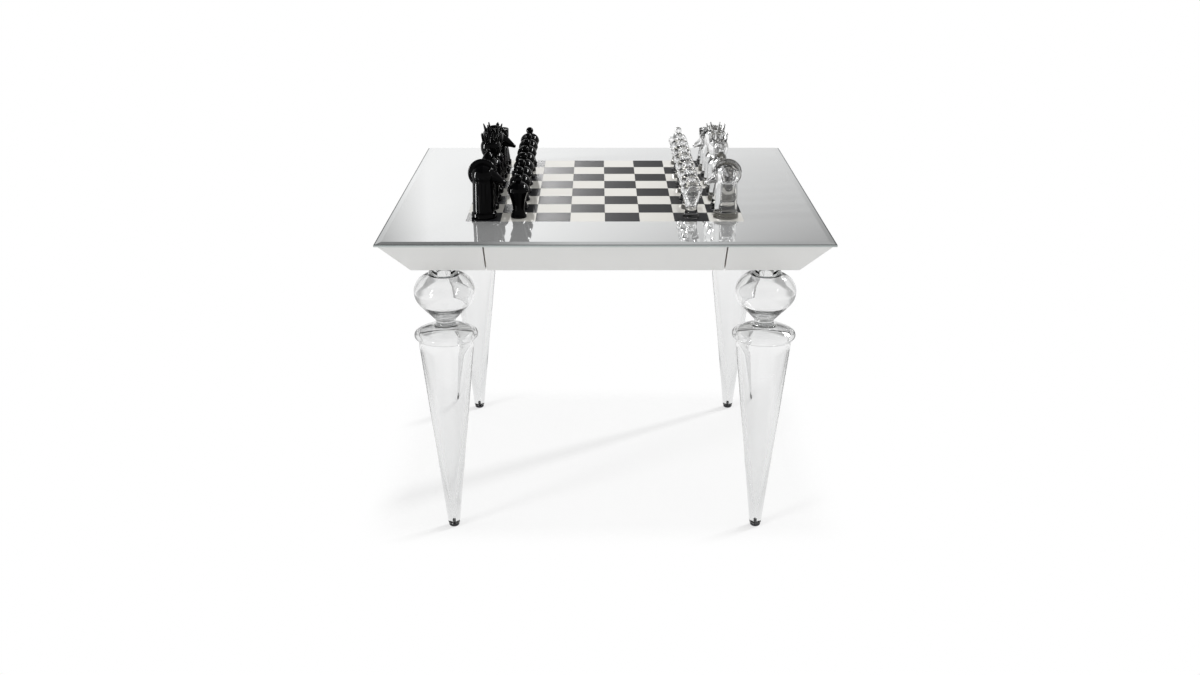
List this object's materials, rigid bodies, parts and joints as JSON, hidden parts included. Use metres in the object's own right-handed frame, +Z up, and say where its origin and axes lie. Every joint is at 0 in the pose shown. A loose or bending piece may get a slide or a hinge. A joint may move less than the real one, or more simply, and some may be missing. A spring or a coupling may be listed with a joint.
{
  "type": "chess table",
  "caption": "Square games table with a mirrored glass top, flush chessboard, sloping apron with a drawer, tapered hollow glass legs and loose black and clear glass men.",
  "frame": {"origin": "on the floor under the middle of the top", "axes": "+Z up from the floor to the board; the drawer opens towards -Y; black men stand on the -X side, clear men on the +X side"},
  "size_m": [1, 1, 0.9057],
  "materials": {
    "mirror_glass": "polished, bevelled edge",
    "dark_glass": "polished, opaque grey-black",
    "cream_glass": "polished, opaque cream",
    "lacquer": "pale grey gloss lacquer",
    "plywood": "sanded and sealed",
    "hardwood": "planed",
    "underside_paint": "pale satin paint",
    "felt": "short pile",
    "zinc_steel": "zinc plated",
    "clear_glass": "blown, fire polished",
    "black_glass": "polished black",
    "dark_metal": "polished, dark nickel"
  },
  "bodies": {
    "table": {"glass_top": "mirror_glass", "dark_squares": "dark_glass", "light_squares": "cream_glass", "sub_top": "plywood", "apron_left": "lacquer", "apron_right": "lacquer", "apron_back": "lacquer", "apron_front_left": "lacquer", "apron_front_right": "lacquer", "corner_blocks": "hardwood", "underside_panel": "underside_paint", "drawer_partitions": "plywood", "runner_outer": "zinc_steel", "leg_front_left": "clear_glass", "leg_front_right": "clear_glass", "leg_back_left": "clear_glass", "leg_back_right": "clear_glass", "leg_plates": "zinc_steel", "leg_screws": "zinc_steel", "foot_caps": "dark_metal"},
    "drawer": {"drawer_front": "lacquer", "drawer_sides": "plywood", "drawer_back": "plywood", "drawer_bottom": "plywood", "drawer_lining": "felt", "runner_inner": "zinc_steel"},
    "runner_carriage": {"runner_middle": "zinc_steel"},
    "black_rook_near": {"black_rook_near": "black_glass"},
    "black_knight_near": {"black_knight_near": "black_glass"},
    "black_bishop_near": {"black_bishop_near": "black_glass"},
    "black_queen": {"black_queen": "black_glass"},
    "black_king": {"black_king": "black_glass"},
    "black_bishop_far": {"black_bishop_far": "black_glass"},
    "black_knight_far": {"black_knight_far": "black_glass"},
    "black_rook_far": {"black_rook_far": "black_glass"},
    "black_pawn_1": {"black_pawn_1": "black_glass"},
    "black_pawn_2": {"black_pawn_2": "black_glass"},
    "black_pawn_3": {"black_pawn_3": "black_glass"},
    "black_pawn_4": {"black_pawn_4": "black_glass"},
    "black_pawn_5": {"black_pawn_5": "black_glass"},
    "black_pawn_6": {"black_pawn_6": "black_glass"},
    "black_pawn_7": {"black_pawn_7": "black_glass"},
    "black_pawn_8": {"black_pawn_8": "black_glass"},
    "clear_rook_near": {"clear_rook_near": "clear_glass"},
    "clear_knight_near": {"clear_knight_near": "clear_glass"},
    "clear_bishop_near": {"clear_bishop_near": "clear_glass"},
    "clear_queen": {"clear_queen": "clear_glass"},
    "clear_king": {"clear_king": "clear_glass"},
    "clear_bishop_far": {"clear_bishop_far": "clear_glass"},
    "clear_knight_far": {"clear_knight_far": "clear_glass"},
    "clear_rook_far": {"clear_rook_far": "clear_glass"},
    "clear_pawn_1": {"clear_pawn_1": "clear_glass"},
    "clear_pawn_2": {"clear_pawn_2": "clear_glass"},
    "clear_pawn_3": {"clear_pawn_3": "clear_glass"},
    "clear_pawn_4": {"clear_pawn_4": "clear_glass"},
    "clear_pawn_5": {"clear_pawn_5": "clear_glass"},
    "clear_pawn_6": {"clear_pawn_6": "clear_glass"},
    "clear_pawn_7": {"clear_pawn_7": "clear_glass"},
    "clear_pawn_8": {"clear_pawn_8": "clear_glass"}
  },
  "joints": [
    {"name": "drawer_slide", "type": "slide", "parent": "table", "child": "drawer", "axis": [0, -1, 0], "range_m": [0, 0.32]},
    {"name": "runner_follow", "type": "slide", "parent": "table", "child": "runner_carriage", "axis": [0, -1, 0], "range_m": [0, 0.16]},
    {"name": "lift_black_rook_near", "type": "slide", "parent": "table", "child": "black_rook_near", "axis": [0, 0, 1], "range_m": [0, 0.2]},
    {"name": "lift_black_knight_near", "type": "slide", "parent": "table", "child": "black_knight_near", "axis": [0, 0, 1], "range_m": [0, 0.2]},
    {"name": "lift_black_bishop_near", "type": "slide", "parent": "table", "child": "black_bishop_near", "axis": [0, 0, 1], "range_m": [0, 0.2]},
    {"name": "lift_black_queen", "type": "slide", "parent": "table", "child": "black_queen", "axis": [0, 0, 1], "range_m": [0, 0.2]},
    {"name": "lift_black_king", "type": "slide", "parent": "table", "child": "black_king", "axis": [0, 0, 1], "range_m": [0, 0.2]},
    {"name": "lift_black_bishop_far", "type": "slide", "parent": "table", "child": "black_bishop_far", "axis": [0, 0, 1], "range_m": [0, 0.2]},
    {"name": "lift_black_knight_far", "type": "slide", "parent": "table", "child": "black_knight_far", "axis": [0, 0, 1], "range_m": [0, 0.2]},
    {"name": "lift_black_rook_far", "type": "slide", "parent": "table", "child": "black_rook_far", "axis": [0, 0, 1], "range_m": [0, 0.2]},
    {"name": "lift_black_pawn_1", "type": "slide", "parent": "table", "child": "black_pawn_1", "axis": [0, 0, 1], "range_m": [0, 0.2]},
    {"name": "lift_black_pawn_2", "type": "slide", "parent": "table", "child": "black_pawn_2", "axis": [0, 0, 1], "range_m": [0, 0.2]},
    {"name": "lift_black_pawn_3", "type": "slide", "parent": "table", "child": "black_pawn_3", "axis": [0, 0, 1], "range_m": [0, 0.2]},
    {"name": "lift_black_pawn_4", "type": "slide", "parent": "table", "child": "black_pawn_4", "axis": [0, 0, 1], "range_m": [0, 0.2]},
    {"name": "lift_black_pawn_5", "type": "slide", "parent": "table", "child": "black_pawn_5", "axis": [0, 0, 1], "range_m": [0, 0.2]},
    {"name": "lift_black_pawn_6", "type": "slide", "parent": "table", "child": "black_pawn_6", "axis": [0, 0, 1], "range_m": [0, 0.2]},
    {"name": "lift_black_pawn_7", "type": "slide", "parent": "table", "child": "black_pawn_7", "axis": [0, 0, 1], "range_m": [0, 0.2]},
    {"name": "lift_black_pawn_8", "type": "slide", "parent": "table", "child": "black_pawn_8", "axis": [0, 0, 1], "range_m": [0, 0.2]},
    {"name": "lift_clear_rook_near", "type": "slide", "parent": "table", "child": "clear_rook_near", "axis": [0, 0, 1], "range_m": [0, 0.2]},
    {"name": "lift_clear_knight_near", "type": "slide", "parent": "table", "child": "clear_knight_near", "axis": [0, 0, 1], "range_m": [0, 0.2]},
    {"name": "lift_clear_bishop_near", "type": "slide", "parent": "table", "child": "clear_bishop_near", "axis": [0, 0, 1], "range_m": [0, 0.2]},
    {"name": "lift_clear_queen", "type": "slide", "parent": "table", "child": "clear_queen", "axis": [0, 0, 1], "range_m": [0, 0.2]},
    {"name": "lift_clear_king", "type": "slide", "parent": "table", "child": "clear_king", "axis": [0, 0, 1], "range_m": [0, 0.2]},
    {"name": "lift_clear_bishop_far", "type": "slide", "parent": "table", "child": "clear_bishop_far", "axis": [0, 0, 1], "range_m": [0, 0.2]},
    {"name": "lift_clear_knight_far", "type": "slide", "parent": "table", "child": "clear_knight_far", "axis": [0, 0, 1], "range_m": [0, 0.2]},
    {"name": "lift_clear_rook_far", "type": "slide", "parent": "table", "child": "clear_rook_far", "axis": [0, 0, 1], "range_m": [0, 0.2]},
    {"name": "lift_clear_pawn_1", "type": "slide", "parent": "table", "child": "clear_pawn_1", "axis": [0, 0, 1], "range_m": [0, 0.2]},
    {"name": "lift_clear_pawn_2", "type": "slide", "parent": "table", "child": "clear_pawn_2", "axis": [0, 0, 1], "range_m": [0, 0.2]},
    {"name": "lift_clear_pawn_3", "type": "slide", "parent": "table", "child": "clear_pawn_3", "axis": [0, 0, 1], "range_m": [0, 0.2]},
    {"name": "lift_clear_pawn_4", "type": "slide", "parent": "table", "child": "clear_pawn_4", "axis": [0, 0, 1], "range_m": [0, 0.2]},
    {"name": "lift_clear_pawn_5", "type": "slide", "parent": "table", "child": "clear_pawn_5", "axis": [0, 0, 1], "range_m": [0, 0.2]},
    {"name": "lift_clear_pawn_6", "type": "slide", "parent": "table", "child": "clear_pawn_6", "axis": [0, 0, 1], "range_m": [0, 0.2]},
    {"name": "lift_clear_pawn_7", "type": "slide", "parent": "table", "child": "clear_pawn_7", "axis": [0, 0, 1], "range_m": [0, 0.2]},
    {"name": "lift_clear_pawn_8", "type": "slide", "parent": "table", "child": "clear_pawn_8", "axis": [0, 0, 1], "range_m": [0, 0.2]}
  ],
  "couplings": [
    {"joint": "runner_follow", "follows": "drawer_slide", "ratio": 0.5}
  ]
}
